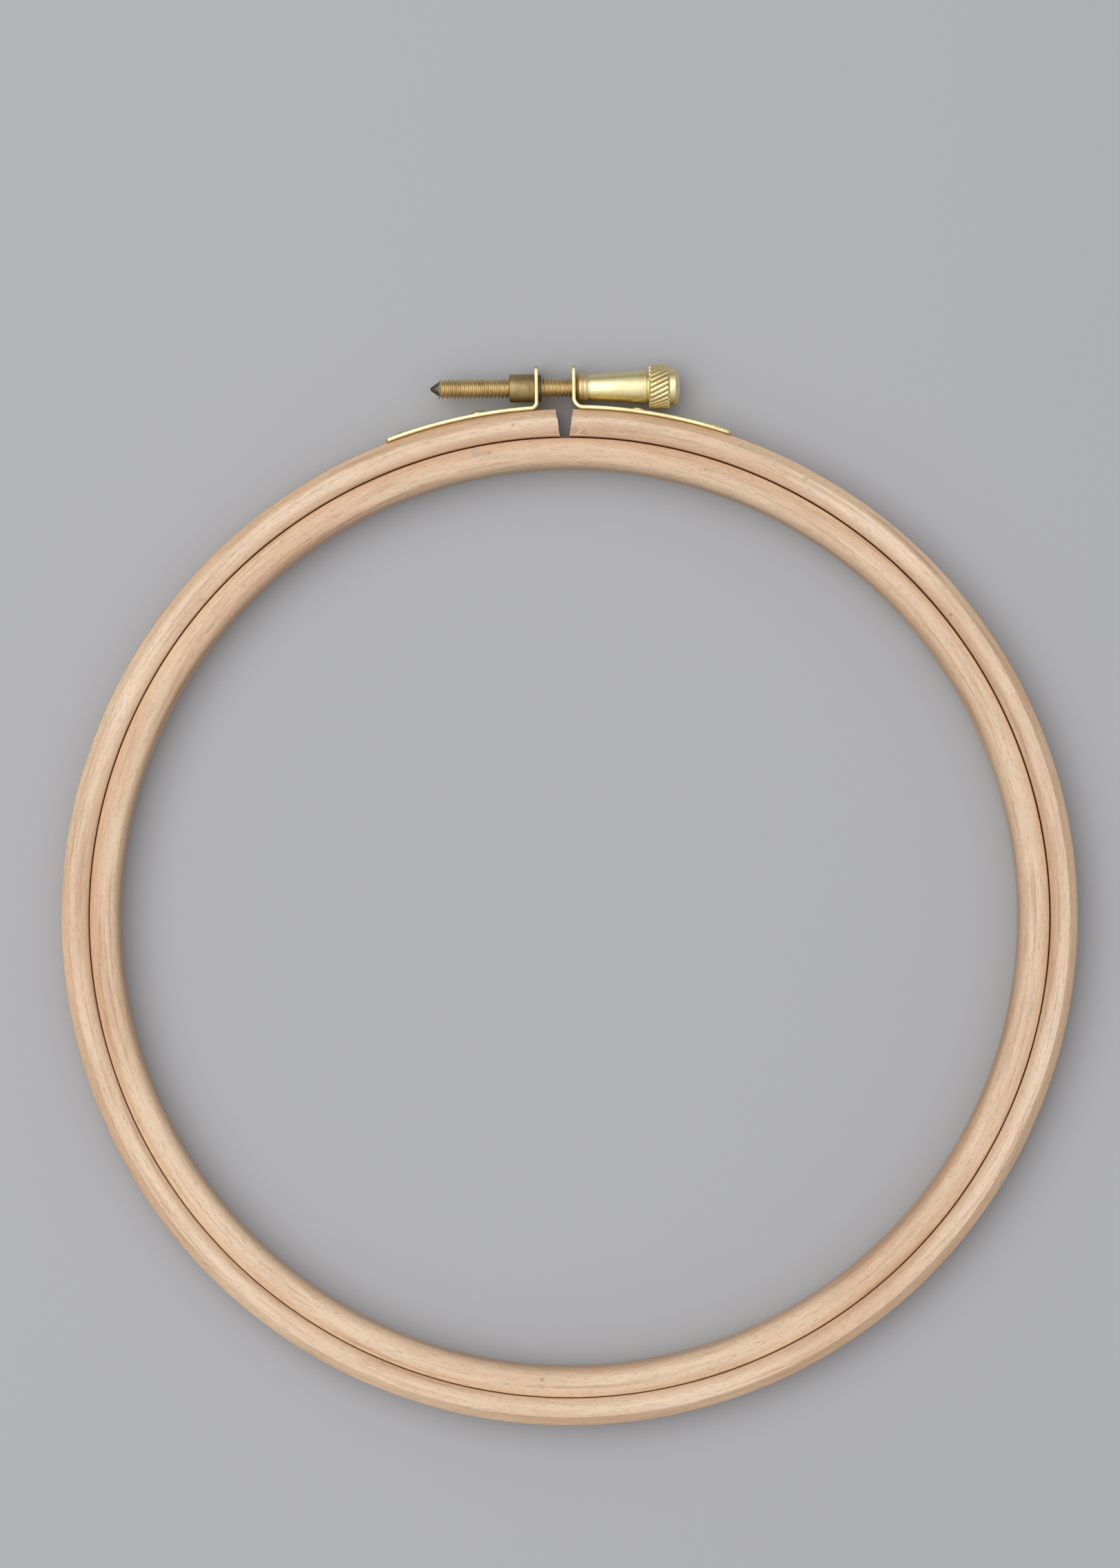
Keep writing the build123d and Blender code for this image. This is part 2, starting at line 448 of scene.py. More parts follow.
def relief(tree, shader, height, distance, strength=1.0):
    """Raises a surface by a height map."""
    bump = add(tree, "Bump", {"Height": height, "Distance": distance, "Strength": strength})
    tree.links.new(bump.outputs["Normal"], shader.inputs["Normal"])


def from_axis(tree, position):
    """A position's height, its place across the hoop's axis, and its distance from that axis."""
    axes = add(tree, "SeparateXYZ", {0: position}).outputs
    flat = add(tree, "CombineXYZ", {0: axes[0], 1: axes[1]}).outputs[0]
    return axes[2], flat, add(tree, "VectorMath", {0: flat}, operation="LENGTH").outputs["Value"]


# Grain that runs round the ring: fine across it, drawn out along it, and without a join

tree, given, result = group(
    "round_grain",
    {
        "Position": ("Vector", None),
        "Across": ("Float", 1000.0),
        "Along": ("Float", 4.0),
        "Detail": ("Float", 2.0),
    },
    {"Value": "Float"},
)
height, flat, radius = from_axis(tree, given["Position"])
heading = add(tree, "VectorMath", {0: flat}, operation="NORMALIZE").outputs[0]
turn = add(tree, "SeparateXYZ", {0: heading}).outputs
place = add(
    tree,
    "CombineXYZ",
    {
        0: sums(tree, "MULTIPLY", radius, given["Across"]),
        1: sums(tree, "MULTIPLY", height, given["Across"]),
        2: sums(tree, "MULTIPLY", turn[0], given["Along"]),
    },
).outputs[0]
noise = add(
    tree,
    "TexNoise",
    {
        "Vector": place,
        "W": sums(tree, "MULTIPLY", turn[1], given["Along"]),
        "Scale": 1.0,
        "Detail": given["Detail"],
        "Roughness": 0.55,
    },
    noise_dimensions="4D",
)
tree.links.new(noise.outputs["Fac"], result["Value"])


# Beech: broad warm and cool tones, fine streaks, short dark pores and paler rays

tree, given, result = group(
    "beech",
    {
        "Position": ("Vector", None),
        "Pale": ("Color", (0.8, 0.7, 0.6, 1)),
        "Tan": ("Color", (0.7, 0.5, 0.4, 1)),
        "Brown": ("Color", (0.5, 0.35, 0.25, 1)),
        "Streaks": ("Float", 0.4),
        "Pores": ("Float", 0.5),
    },
    {"Color": "Color", "Roughness": "Float", "Height": "Float"},
)


def grain(across, along, detail):
    """One layer of grain inside the beech group."""
    inputs = {"Position": given["Position"], "Across": across, "Along": along, "Detail": detail}
    return use(tree, "round_grain", inputs)["Value"]


fibre = grain(across=5200.0, along=18.0, detail=2.0)
streak = ramp(tree, grain(across=1250.0, along=3.4, detail=4.0), 0.5, 0.72)
pore = ramp(tree, grain(across=8000.0, along=78.0, detail=0.0), 0.64, 0.74)
ray = ramp(tree, grain(across=2900.0, along=34.0, detail=1.0), 0.6, 0.72)
tone = ramp(tree, grain(across=230.0, along=1.8, detail=2.0), 0.36, 0.62)
shade = blended(tree, tone, given["Tan"], given["Pale"])
shade = blended(tree, sums(tree, "MULTIPLY", streak, given["Streaks"]), shade, given["Brown"])
shade = blended(tree, sums(tree, "MULTIPLY", ray, 0.35), shade, given["Pale"])
shade = blended(tree, sums(tree, "MULTIPLY", pore, given["Pores"]), shade, given["Brown"])
weight = ramp(tree, fibre, 0.3, 0.7, 0.9, 1.05)
tint = add(tree, "CombineXYZ", {0: weight, 1: weight, 2: weight}).outputs[0]
shade = blended(tree, 1.0, shade, tint, "MULTIPLY")
tree.links.new(shade, result["Color"])
tree.links.new(ramp(tree, fibre, 0.3, 0.7, 0.52, 0.7), result["Roughness"])
tree.links.new(sums(tree, "SUBTRACT", fibre, sums(tree, "MULTIPLY", pore, 0.8)), result["Height"])


# Painted shade: the wood's colour is darkened towards a ring's two edges, where its rounded faces turn away
# from the light and the rings meet

tree, given, result = group(
    "painted_edge_shade",
    {
        "Position": ("Vector", None),
        "Color": ("Color", (0.8, 0.7, 0.6, 1)),
        "Inner": ("Float", 0.07),
        "Outer": ("Float", 0.08),
        "Reach": ("Float", 0.0016),
        "Inner Tone": ("Color", (1, 1, 1, 1)),
        "Outer Tone": ("Color", (1, 1, 1, 1)),
    },
    {"Color": "Color"},
)
radius = from_axis(tree, given["Position"])[2]
inside = ramp(tree, radius, sums(tree, "ADD", given["Inner"], given["Reach"]), given["Inner"])
outside = ramp(tree, radius, sums(tree, "SUBTRACT", given["Outer"], given["Reach"]), given["Outer"])
shade = blended(tree, inside, given["Color"], given["Inner Tone"], "MULTIPLY")
shade = blended(tree, outside, shade, given["Outer Tone"], "MULTIPLY")
tree.links.new(shade, result["Color"])


# A small stain or knock with a ragged edge

tree, given, result = group(
    "spot",
    {
        "Position": ("Vector", None),
        "Centre": ("Vector", None),
        "Size": ("Float", 0.001),
        "Ragged": ("Float", 0.0006),
    },
    {"Mask": "Float"},
)
noise = add(tree, "TexNoise", {"Vector": given["Position"], "Scale": 1800.0, "Detail": 2.0})
shift = add(tree, "VectorMath", {0: noise.outputs["Color"], 1: (0.5, 0.5, 0.5)}, operation="SUBTRACT")
shift = add(tree, "VectorMath", {0: shift.outputs[0], "Scale": given["Ragged"]}, operation="SCALE")
moved = add(tree, "VectorMath", {0: given["Position"], 1: shift.outputs[0]}, operation="ADD")
apart = add(tree, "VectorMath", {0: moved.outputs[0], 1: given["Centre"]}, operation="DISTANCE")
share = sums(tree, "DIVIDE", apart.outputs["Value"], given["Size"])
tree.links.new(ramp(tree, share, 1.0, 0.45), result["Mask"])


# Brass: tone that varies in patches, fine lines along one axis, and dulling

tree, given, result = group(
    "brass",
    {
        "Position": ("Vector", None),
        "Bright": ("Color", (0.9, 0.8, 0.5, 1)),
        "Dull": ("Color", (0.5, 0.4, 0.2, 1)),
        "Lines": ("Float", 9000.0),
        "Dulling": ("Float", 0.4),
        "Smooth": ("Float", 0.2),
        "Rough": ("Float", 0.4),
    },
    {"Color": "Color", "Roughness": "Float", "Height": "Float"},
)
axes = add(tree, "SeparateXYZ", {0: given["Position"]}).outputs
lines = add(
    tree,
    "TexNoise",
    {"W": sums(tree, "MULTIPLY", axes[0], given["Lines"]), "Scale": 1.0, "Detail": 3.0},
    noise_dimensions="1D",
).outputs["Fac"]
patches = add(tree, "TexNoise", {"Vector": given["Position"], "Scale": 420.0, "Detail": 4.0}).outputs["Fac"]
grime = sums(tree, "MULTIPLY", ramp(tree, patches, 0.42, 0.68), given["Dulling"])
lined = sums(tree, "MULTIPLY", ramp(tree, lines, 0.35, 0.7), given["Dulling"])
lined = sums(tree, "MULTIPLY", lined, 0.7)
soiled = add(tree, "Math", {0: grime, 1: lined}, operation="ADD", use_clamp=True).outputs[0]
tree.links.new(blended(tree, soiled, given["Bright"], given["Dull"]), result["Color"])
span = sums(tree, "SUBTRACT", given["Rough"], given["Smooth"])
rough = sums(tree, "ADD", given["Smooth"], sums(tree, "MULTIPLY", span, ramp(tree, lines, 0.3, 0.75)))
tree.links.new(rough, result["Roughness"])
tree.links.new(lines, result["Height"])


# Finishes, their tones given as they look on screen

def beech(name, pale, tan, brown, streaks, pores, edges=None, marks=()):
    """A beech finish, with painted shade towards its edges given as their radii and tones, and marks as
    tone, strength, centre and size.
    """
    made, tree, shader, position = material(name)
    inputs = {
        "Position": position,
        "Pale": screen(*pale),
        "Tan": screen(*tan),
        "Brown": screen(*brown),
        "Streaks": streaks,
        "Pores": pores,
    }
    wood = use(tree, "beech", inputs)
    shade = wood["Color"]
    # Painted shade towards the ring's two edges
    if edges:
        inner, outer, inner_tone, outer_tone = edges
        inputs = {
            "Position": position,
            "Color": shade,
            "Inner": inner,
            "Outer": outer,
            "Inner Tone": inner_tone,
            "Outer Tone": outer_tone,
        }
        shade = use(tree, "painted_edge_shade", inputs)["Color"]
    for tone, strength, (x, y), size in marks:
        inputs = {
            "Position": position,
            "Centre": (x * mm, y * mm, half_height),
            "Size": size * mm,
            "Ragged": 1.6 * size * mm,
        }
        mask = use(tree, "spot", inputs)["Mask"]
        shade = blended(tree, sums(tree, "MULTIPLY", mask, strength), shade, screen(*tone))
    tree.links.new(shade, shader.inputs["Base Color"])
    tree.links.new(wood["Roughness"], shader.inputs["Roughness"])
    shader.inputs["IOR"].default_value = 1.4
    relief(tree, shader, wood["Height"], 0.05 * mm, 0.5)
    return made


def brass(name, bright, dull, lines, dulling, smoothest, roughest, depth):
    """A brass finish with fine lines across X, so many a metre, and so deep in millimetres."""
    made, tree, shader, position = material(name)
    inputs = {
        "Position": position,
        "Bright": screen(*bright),
        "Dull": screen(*dull),
        "Lines": lines,
        "Dulling": dulling,
        "Smooth": smoothest,
        "Rough": roughest,
    }
    metal = use(tree, "brass", inputs)
    tree.links.new(metal["Color"], shader.inputs["Base Color"])
    tree.links.new(metal["Roughness"], shader.inputs["Roughness"])
    shader.inputs["Metallic"].default_value = 1.0
    relief(tree, shader, metal["Height"], depth * mm)
    return made


smudge = (150, 158, 160)
soot = (92, 84, 78)
moss = (176, 172, 128)
bruise = (150, 118, 92)
inner_beech = beech(
    "inner_beech",
    pale=(232, 204, 174),
    tan=(219, 183, 151),
    brown=(180, 141, 108),
    streaks=0.58,
    pores=0.42,
    # Painted shade towards the bore and towards the seam
    edges=(71.9 * mm, 76.0 * mm, (0.78, 0.74, 0.7, 1.0), (0.96, 0.85, 0.76, 1.0)),
    marks=[
        (smudge, 0.38, (-14.2, 73.9), 1.0),
        (smudge, 0.26, (-12.8, 73.6), 0.7),
        (soot, 0.5, (-12.0, 73.9), 0.3),
        (moss, 0.5, (21.6, 70.9), 0.6),
        (moss, 0.5, (23.0, 70.6), 0.7),
        (bruise, 0.5, (22.3, 70.8), 0.35),
        (bruise, 0.5, (-5.2, -73.4), 0.5),
    ],
)
outer_beech = beech(
    "outer_beech",
    pale=(238, 211, 183),
    tan=(224, 191, 161),
    brown=(186, 148, 115),
    streaks=0.58,
    pores=0.42,
    # Painted shade towards the seam and towards the outer facet
    edges=(76.6 * mm, 80.3 * mm, (0.79, 0.7, 0.62, 1.0), (0.94, 0.88, 0.79, 1.0)),
    marks=[
        (bruise, 0.6, (-8.2, 78.3), 0.35),
        (bruise, 0.32, (1.6, 77.4), 0.9),
        (bruise, 0.3, (3.1, 76.9), 0.8),
        (moss, 0.6, (38.2, 69.2), 0.5),
        (soot, 0.5, (61.0, 47.4), 0.35),
    ],
)
end_beech = beech("end_beech", (208, 174, 140), (186, 150, 116), (142, 106, 76), 0.7, 0.9)
torn_beech = beech("torn_beech", (238, 214, 184), (228, 198, 166), (196, 158, 122), 0.4, 0.2)
strip_brass = brass("strip_brass", (238, 222, 172), (194, 170, 118), 600.0, 0.3, 0.28, 0.42, 0.0005)
nail_brass = brass("nail_brass", (248, 236, 184), (188, 162, 106), 3000.0, 0.35, 0.28, 0.42, 0.001)
nut_brass = brass("nut_brass", (179, 159, 113), (126, 107, 71), 9000.0, 0.5, 0.42, 0.56, 0.002)
# The rim's brass is given a dark tone: painted shade where the rim sits behind the left ear
rim_painted_shade = brass("rim_painted_shade", (120, 100, 68), (80, 64, 40), 4000.0, 0.6, 0.45, 0.6, 0.002)
head_brass = brass("head_brass", (250, 236, 184), (214, 188, 130), 9000.0, 0.4, 0.33, 0.45, 0.004)
# The collar takes a darker copy of the head's brass: painted shade beside the right ear
collar_painted_shade = brass("collar_painted_shade", (230, 206, 158), (186, 154, 106), 5000.0, 0.4, 0.4, 0.52, 0.003)
thread_brass = brass("thread_brass", (226, 205, 160), (166, 142, 98), 4000.0, 0.3, 0.36, 0.5, 0.002)
# The point's brass is given a dark tone: painted dark reflection on the cone
point_painted_reflection = brass("point_painted_reflection", (112, 110, 88), (72, 70, 56), 4000.0, 0.5, 0.4, 0.55, 0.002)
knurl_brass = brass("knurl_brass", (252, 239, 188), (206, 180, 124), 3000.0, 0.35, 0.32, 0.46, 0.002)
# The knurl's grooves take a darker, rougher copy of its brass: painted shade in the grooves
knurl_groove_painted_shade = brass("knurl_groove_painted_shade", (222, 200, 146), (182, 156, 104), 3000.0, 0.4, 0.45, 0.6, 0.002)


# Rings

def ring_section(corners):
    """A ring's section: the front half's corners, as radius, height and rounding, and the same behind."""
    back = [(radius, -height, rounding) for radius, height, rounding in reversed(corners)]
    return closer(eased(corners + back), section_spacing)


def make_inner_ring():
    """The closed ring of bent wood that drops into the split one."""
    corners = [
        (bore_radius, half_height - crown, bore_rounding),
        (bore_radius + inner_crest, half_height, inner_crest_rounding),
        (inner_ring_radius, half_height - crown, seam_rounding),
    ]
    points = [Vector((point.x, 0, point.y)) for point in ring_section(corners)]
    ring = spun(traced("inner_ring_wood", points, closed=True), steps=ring_steps)
    ring.data.materials.append(inner_beech)
    ring.location = inner_ring_rest
    settle(ring)
    smooth(ring, 40)
    return ring


def make_half(name, side):
    """One half of the split ring, from its sawn end beside the screw down to the bottom."""
    corners = [
        (split_ring_inner_radius, half_height - crown, seam_rounding),
        (outer_radius - facet - outer_crest, half_height, outer_crest_rounding),
        (outer_radius - facet, half_height - facet_drop, facet_rounding),
        (outer_radius, half_height - facet, outside_rounding),
    ]
    points = [Vector((0, point.x, point.y)) for point in ring_section(corners)]
    half = spun(traced(name, points, closed=True), steps=ring_steps // 2, angle=-side * math.pi)
    half.data.materials.append(outer_beech)
    half.data.materials.append(end_beech)
    edit(half)

    # The bottom is closed, then the sawn end is cut and closed
    pick("EDGE", lambda found: found.is_boundary and all(v.co.y < 0 for v in found.verts))
    bpy.ops.mesh.edge_face_add()
    bpy.ops.mesh.select_all(action="SELECT")
    wall = outer_radius - split_ring_inner_radius
    slope = split_outside - split_inside
    bpy.ops.mesh.bisect(
        plane_co=(side * split_inside, split_ring_inner_radius, 0),
        plane_no=Vector((-side * wall, slope, 0)).normalized(),
        use_fill=True,
        clear_outer=True,
    )
    tidy_faces()

    # The sawn end is the one face of many corners up there. It is hollowed, then roughened.
    pick("FACE", lambda found: len(found.verts) > 8 and found.calc_center_median().y > 0)
    half.active_material_index = 1
    bpy.ops.object.material_slot_assign()
    bpy.ops.mesh.poke(offset=-sawn_hollow)
    pick("VERT", lambda found: found.co.y > 0 and any(f.material_index == 1 for f in found.link_faces))
    bpy.ops.transform.vertex_random(offset=sawn_roughness, uniform=0.2, seed=7 + side)
    leave()
    smooth(half, 40)
    return half


def make_splinter(name, stations):
    """A torn fibre, drawn out from a small ring through its places while it thins."""
    places = [tuple(value * mm for value in station[:3]) for station in stations]
    radii = [station[3] for station in stations]
    bpy.ops.object.select_all(action="DESELECT")
    bpy.ops.mesh.primitive_circle_add(
        vertices=6,
        radius=radii[0] * mm,
        fill_type="NGON",
        location=places[0],
    )
    sliver = bpy.context.object
    sliver.name = name
    settle(sliver)
    edit(sliver)
    for here, there, before, after in zip(places, places[1:], radii, radii[1:]):
        extrude(Vector(there) - Vector(here))
        share = after / before
        bpy.ops.transform.resize(value=(share, share, share), center_override=there)
    tidy_faces()
    leave()
    sliver.data.materials.append(torn_beech)
    return sliver


# Brackets and nails

def is_corner(edge, corner):
    """Whether an edge runs through the strip's thickness at one end of it."""
    middle = (edge.verts[0].co + edge.verts[1].co) / 2
    flat = abs(edge.verts[0].co.z - edge.verts[1].co.z) < merge_distance
    return flat and (Vector((middle.x, middle.y, 0)) - corner).length < corner_reach


def make_bracket(name):
    """A strip bent up into an ear, with rounded corners, a hole and softened edges."""
    sizes = brackets[name]
    side, ear, bend = sizes["side"], sizes["ear"], sizes["bend"]
    reach = seat_radius + bend + strip
    start = math.asin((ear + strip / 2 + bend) / reach)
    tip = (ear + sizes["length"]) / seat_radius
    centre = around(start, reach)
    upright = math.radians(270)
    foot = math.radians(180) + start
    outline = [Vector((ear - strip / 2, ear_top, 0))]
    outline += sweep(upright, foot, bend + strip, centre, bend_steps)
    outline += sweep(start, tip, seat_radius, (0, 0), band_steps)[1:]
    outline += sweep(tip, start, band_radius, (0, 0), band_steps)
    outline += sweep(foot, upright, bend, centre, bend_steps)[1:]
    outline += [Vector((ear + strip / 2, ear_top, 0))]
    outline = [Vector((side * point.x, point.y, -strip_half_width)) for point in outline]
    bracket = traced(name + "_strip", outline, closed=True)
    edit(bracket)
    bpy.ops.mesh.edge_face_add()
    extrude((0, 0, 2 * strip_half_width))
    tidy_faces()
    band_end = around(tip, (seat_radius + band_radius) / 2)
    ear_end = Vector((ear, ear_top, 0))
    for place, rounding in ((band_end, tip_rounding), (ear_end, ear_rounding)):
        corner = Vector((side * place.x, place.y, 0))
        pick("EDGE", lambda found: is_corner(found, corner))
        bpy.ops.mesh.bevel(offset=rounding, segments=6)
    leave()
    bpy.ops.object.select_all(action="DESELECT")
    bpy.ops.mesh.primitive_cylinder_add(
        vertices=48,
        radius=sizes["hole"],
        depth=4 * strip,
        location=(side * ear, screw_height, 0),
        rotation=(0, math.radians(90), 0),
    )
    drill = bpy.context.object
    apply(bracket, "BOOLEAN", object=drill, operation="DIFFERENCE", solver="EXACT")
    bpy.data.objects.remove(drill)
    softening = dict(width=strip_softening, segments=3, limit_method="ANGLE")
    apply(bracket, "BEVEL", **softening, angle_limit=math.radians(40))
    bracket.data.materials.append(strip_brass)
    smooth(bracket, 35)
    return bracket


def make_nail():
    """A nail on Z at the origin, head up: a low dome, a soft rim, the shank and its point."""
    outline = []
    for step in range(10):
        turn = math.radians(90) * step / 9
        rise = (nail_head_height - nail_rim) * math.cos(turn)
        outline.append((nail_head_radius * math.sin(turn), nail_rim + rise))
    outline += [
        (nail_head_radius, nail_edge),
        (nail_head_radius - nail_edge, 0),
        (nail_shank_radius, 0),
        (nail_shank_radius, nail_point - nail_length),
        (0, -nail_length),
    ]
    points = [Vector((radius, 0, height)) for radius, height in outline]
    nail = spun(traced("nail", points), steps=40)
    nail.data.materials.append(nail_brass)
    smooth(nail, 32)
    return nail


def driven(nail, name, angle, lean):
    """A copy of the nail, driven through a band at an angle from +Y and leaning a little."""
    copy = nail.copy()
    copy.data = nail.data.copy()
    copy.name = name
    bpy.context.collection.objects.link(copy)
    copy.location = around(angle, band_radius)
    outwards = around(angle, 1)
    copy.rotation_mode = "QUATERNION"
    copy.rotation_quaternion = (outwards + Vector((0, 0, lean))).to_track_quat("Z", "X")
    settle(copy)
    return copy


# Nut and screw

def make_nut():
    """The barrel nut, with its spigot through the left ear and its rim swaged over."""
    outline = outline_along([
        (nut_start + nut_mouth_depth, nut_bore, 0),
        (nut_start, nut_bore + nut_mouth_width, mouth_edge),
        (nut_start, nut_radius, nut_edge),
        (nut_seat, nut_radius, nut_seat_edge),
        (nut_seat, spigot_radius, 0),
        (rim_start, spigot_radius, 0),
        (rim_start, rim_radius, rim_edge),
        (rim_end, rim_end_radius, rim_end_edge),
        (rim_end, nut_bore + rim_mouth_width, mouth_edge),
        (rim_end - rim_mouth_depth, nut_bore, 0),
    ])
    nut = turned("nut_turning", outline, steps=80, closed=True)
    nut.data.materials.append(nut_brass)
    # The rim takes the darker finish, as painted shade beside the left ear
    refinish(nut, rim_painted_shade, lambda found: found.calc_center_median().x > rim_start)
    smooth(nut, 35)
    return nut


def make_shank():
    """The threaded shank: one pitch of rounded thread, wound on by a screw modifier, and cut square."""
    mean = thread_radius - thread_depth / 2
    begin = shank_end - pitch
    points = []
    for step in range(thread_points + 1):
        x = begin + pitch * step / thread_points
        points.append(Vector((x, mean + thread_depth / 2 * math.cos(math.tau * x / pitch), 0)))
    shank = traced("shank", points)
    apply(
        shank,
        "SCREW",
        axis="X",
        angle=math.tau,
        screw_offset=pitch,
        iterations=thread_turns,
        steps=thread_steps,
        render_steps=thread_steps,
        use_merge_vertices=True,
        merge_threshold=merge_distance,
    )
    shank.location = screw_centre
    settle(shank)
    edit(shank)
    tidy_faces()
    for cut, outwards in ((shank_end, -1), (head_start + shank_overlap, 1)):
        bpy.ops.mesh.select_all(action="SELECT")
        bpy.ops.mesh.bisect(
            plane_co=(cut, screw_height, 0), plane_no=(outwards, 0, 0), use_fill=True, clear_outer=True
        )
    tidy_faces()
    leave()
    shank.data.materials.append(thread_brass)
    smooth(shank, 60)
    return shank


def make_point():
    """The cone at the shank's end, with a small blunt tip."""
    base = thread_radius - thread_depth - point_inset
    end = shank_end - point_length
    inside = shank_end + point_overlap
    outline = [(end, 0)]
    outline += [(end + back, radius) for back, radius in blunt_tip]
    outline += [(shank_end - point_shoulder, base), (inside, base + point_flare), (inside, 0)]
    point = turned("point", outline, steps=48)
    # The cone's finish is darkened as painted dark reflection
    point.data.materials.append(point_painted_reflection)
    smooth(point, 40)
    return point


def make_head():
    """The turned head: a beaded collar, a groove, the long taper, a neck, and a boss with a domed end."""
    bevel_end = head_start + collar_bevel
    collar_end = head_start + collar_length
    bead = (collar_end - bevel_end) / 2
    outline = [(head_start, 0), (head_start, head_face_radius), (bevel_end, collar_radius)]
    for start in (bevel_end, bevel_end + bead):
        for step in range(1, 9):
            turn = math.pi * step / 8
            rise = bead_height * math.sin(turn)
            outline.append((start + bead * (1 - math.cos(turn)) / 2, collar_radius + rise))
    outline += outline_along([
        (collar_end, collar_radius, 0),
        (collar_end + groove_slant, collar_radius - groove_depth, groove_rounding),
        (taper_start, collar_radius - groove_depth, groove_rounding),
        (taper_start, collar_radius - taper_below_collar, taper_start_rounding),
        (taper_end, knurl_radius - taper_below_knurl, taper_end_rounding),
        (taper_end + groove_slant, knurl_radius - neck_below_knurl, neck_rounding),
        (knurl_end, knurl_radius - neck_below_knurl, 0),
        (knurl_end, knurl_radius - boss_below_knurl, neck_rounding),
        (knurl_end + boss_length, knurl_radius - boss_below_knurl, 0),
    ])[1:]
    reach = knurl_radius - dome_below_knurl
    for step in range(1, 12):
        turn = math.radians(90) * step / 11
        outline.append((knurl_end + dome_start + dome_height * math.sin(turn), reach * math.cos(turn)))
    head = turned("head", outline, steps=128)
    head.data.materials.append(head_brass)
    # The collar's faces take the darker finish, as painted shade
    refinish(head, collar_painted_shade, lambda found: found.calc_center_median().x < collar_end)
    smooth(head, 35)
    return head


def make_knurl():
    """The knurl: a ring of slanting ridges, extruded and turned a step at a time, with bevelled ends."""
    start = (knurl_start, screw_height, 0)
    length = knurl_end - knurl_start
    bpy.ops.object.select_all(action="DESELECT")
    bpy.ops.mesh.primitive_circle_add(
        vertices=ridge_points * knurl_ridges,
        radius=knurl_radius,
        location=start,
        rotation=(0, math.radians(90), 0),
    )
    knurl = bpy.context.object
    knurl.name = "knurl"
    settle(knurl)
    edit(knurl)

    # Of each ridge's points, one is the groove's floor and its two neighbours are the shoulders
    for rows, depth in (((0,), knurl_depth), ((1, 4), ridge_shoulder_share * knurl_depth)):
        share = 1 - depth / knurl_radius
        pick("VERT", lambda found: found.index % ridge_points in rows)
        bpy.ops.transform.resize(value=(share, share, share), center_override=start)
    bpy.ops.mesh.select_all(action="SELECT")
    share = 1 - knurl_bevel_depth / knurl_radius
    bpy.ops.transform.resize(value=(1, share, share), center_override=start)
    runs = [knurl_bevel] + [(length - 2 * knurl_bevel) / knurl_runs] * knurl_runs + [knurl_bevel]
    x = knurl_start
    for index, run in enumerate(runs):
        x += run
        centre = (x, screw_height, 0)
        extrude((run, 0, 0))
        bpy.ops.transform.rotate(value=knurl_lean * run / length, orient_axis="X", center_override=centre)
        grow = {0: 1 / share, len(runs) - 1: share}.get(index, 1)
        bpy.ops.transform.resize(value=(1, grow, grow), center_override=centre)
    pick("EDGE", lambda found: found.is_boundary)
    bpy.ops.mesh.edge_face_add()
    tidy_faces()
    leave()
    knurl.data.materials.append(knurl_brass)

    def in_groove(face):
        middle = face.calc_center_median()
        depth = knurl_radius - math.hypot(middle.y - screw_height, middle.z)
        between = knurl_start + knurl_bevel < middle.x < knurl_end - knurl_bevel
        return between and depth > groove_floor_share * knurl_depth

    # The groove floors take the darker finish, as painted shade
    refinish(knurl, knurl_groove_painted_shade, in_groove)
    smooth(knurl, 28)
    return knurl


# Camera, over the hoop's centre, with the frame shifted and rolled as the hoop lies in the photograph
image_width = 1624
image_height = 2274
pixel = 0.1095 * mm
hoop_centre = (826, 1330.3)
camera_height = 900 * mm
camera_roll = math.radians(-0.6)
sensor_width = 36
bpy.ops.object.camera_add(location=(0, 0, camera_height), rotation=(0, 0, camera_roll))
camera = bpy.context.object
bpy.context.scene.camera = camera
camera.data.sensor_width = sensor_width
camera.data.lens = sensor_width * (camera_height - half_height) / (image_height * pixel)
camera.data.shift_x = (image_width / 2 - hoop_centre[0]) / image_height
camera.data.shift_y = (hoop_centre[1] - image_height / 2) / image_height
camera.data.clip_start = 0.01
camera.data.dof.use_dof = False

# Pieces
inner_ring = make_inner_ring()
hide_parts("inner_ring")
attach(inner_ring, "drop_in_ring")

for name, sizes in brackets.items():
    body = name + "_clamp_end"
    half = make_half(name + "_half_ring", sizes["side"])
    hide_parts("outer_ring")
    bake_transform(half)
    bracket = make_bracket(name)
    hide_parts(name + "_bracket")
    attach(bracket, body)

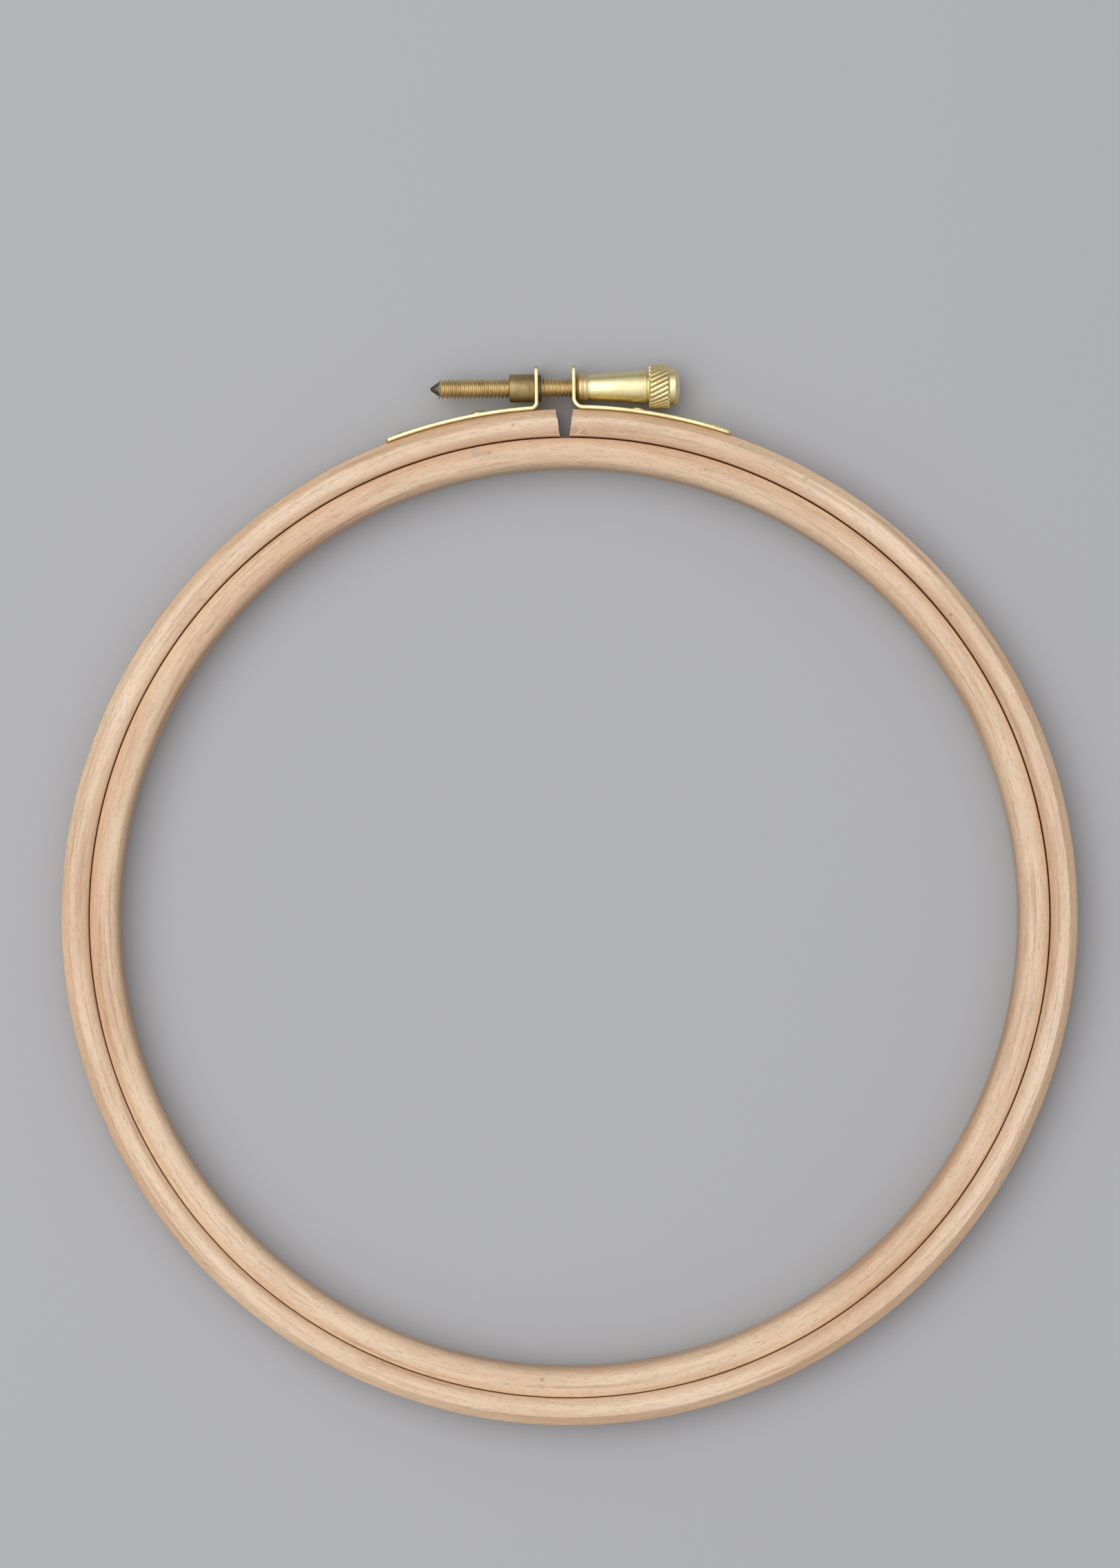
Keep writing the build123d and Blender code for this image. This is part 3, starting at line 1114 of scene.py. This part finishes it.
nail = make_nail()
leans = iter(nail_leans)
for name, sizes in brackets.items():
    tip = sizes["ear"] + sizes["length"]
    for place, back in nail_backs.items():
        angle = sizes["side"] * (tip - back) / seat_radius
        fixed = driven(nail, f"{name}_{place}_nail_head", angle, next(leans))
        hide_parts(f"{name}_{place}_nail")
        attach(fixed, name + "_clamp_end")
bpy.data.objects.remove(nail)

for name, stations in splinters.items():
    splinter = make_splinter(name, stations)
    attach(splinter, "right_clamp_end")

nut = make_nut()
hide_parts("barrel_nut")
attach(nut, "left_clamp_end")

screw = joined("thumb_screw", [make_head(), make_knurl(), make_shank(), make_point()])
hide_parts("clamp_screw")
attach(screw, "thumbscrew")

# Floor
floor_width = 4
floor_grey = screen(176, 176, 178)
floor_roughness = 0.9
bpy.ops.object.select_all(action="DESELECT")
bpy.ops.mesh.primitive_plane_add(size=floor_width, location=(0, 0, -half_height))
floor = bpy.context.object
floor.name = "floor"
floor_paint, _, shader, _ = material("floor_paint")
shader.inputs["Base Color"].default_value = floor_grey
shader.inputs["Roughness"].default_value = floor_roughness
floor.data.materials.append(floor_paint)

# Light: a broad soft lamp overhead and a pale surround that darkens towards the horizon
lamp_place = (-0.42, 0.15, 0.95)
lamp_length = 1.3
lamp_width = 0.9
lamp_energy = 6.0
zenith = screen(234, 235, 238)
horizon = screen(96, 96, 98)
surround_strength = 0.9
bpy.ops.object.light_add(type="AREA", location=lamp_place)
lamp = bpy.context.object
lamp.data.shape = "RECTANGLE"
lamp.data.size = lamp_length
lamp.data.size_y = lamp_width
lamp.data.energy = lamp_energy
lamp.rotation_mode = "QUATERNION"
lamp.rotation_quaternion = lamp.location.to_track_quat("Z", "Y")
world = bpy.data.worlds.new("surround")
bpy.context.scene.world = world
world.use_nodes = True
tree = world.node_tree
direction = add(tree, "TexCoord").outputs["Generated"]
rise = add(tree, "SeparateXYZ", {0: direction}).outputs[2]
surround = blended(tree, ramp(tree, rise, 0.0, 0.75), horizon, zenith)
tree.links.new(surround, tree.nodes["Background"].inputs["Color"])
tree.nodes["Background"].inputs["Strength"].default_value = surround_strength

bpy.context.scene.view_settings.view_transform = "Standard"
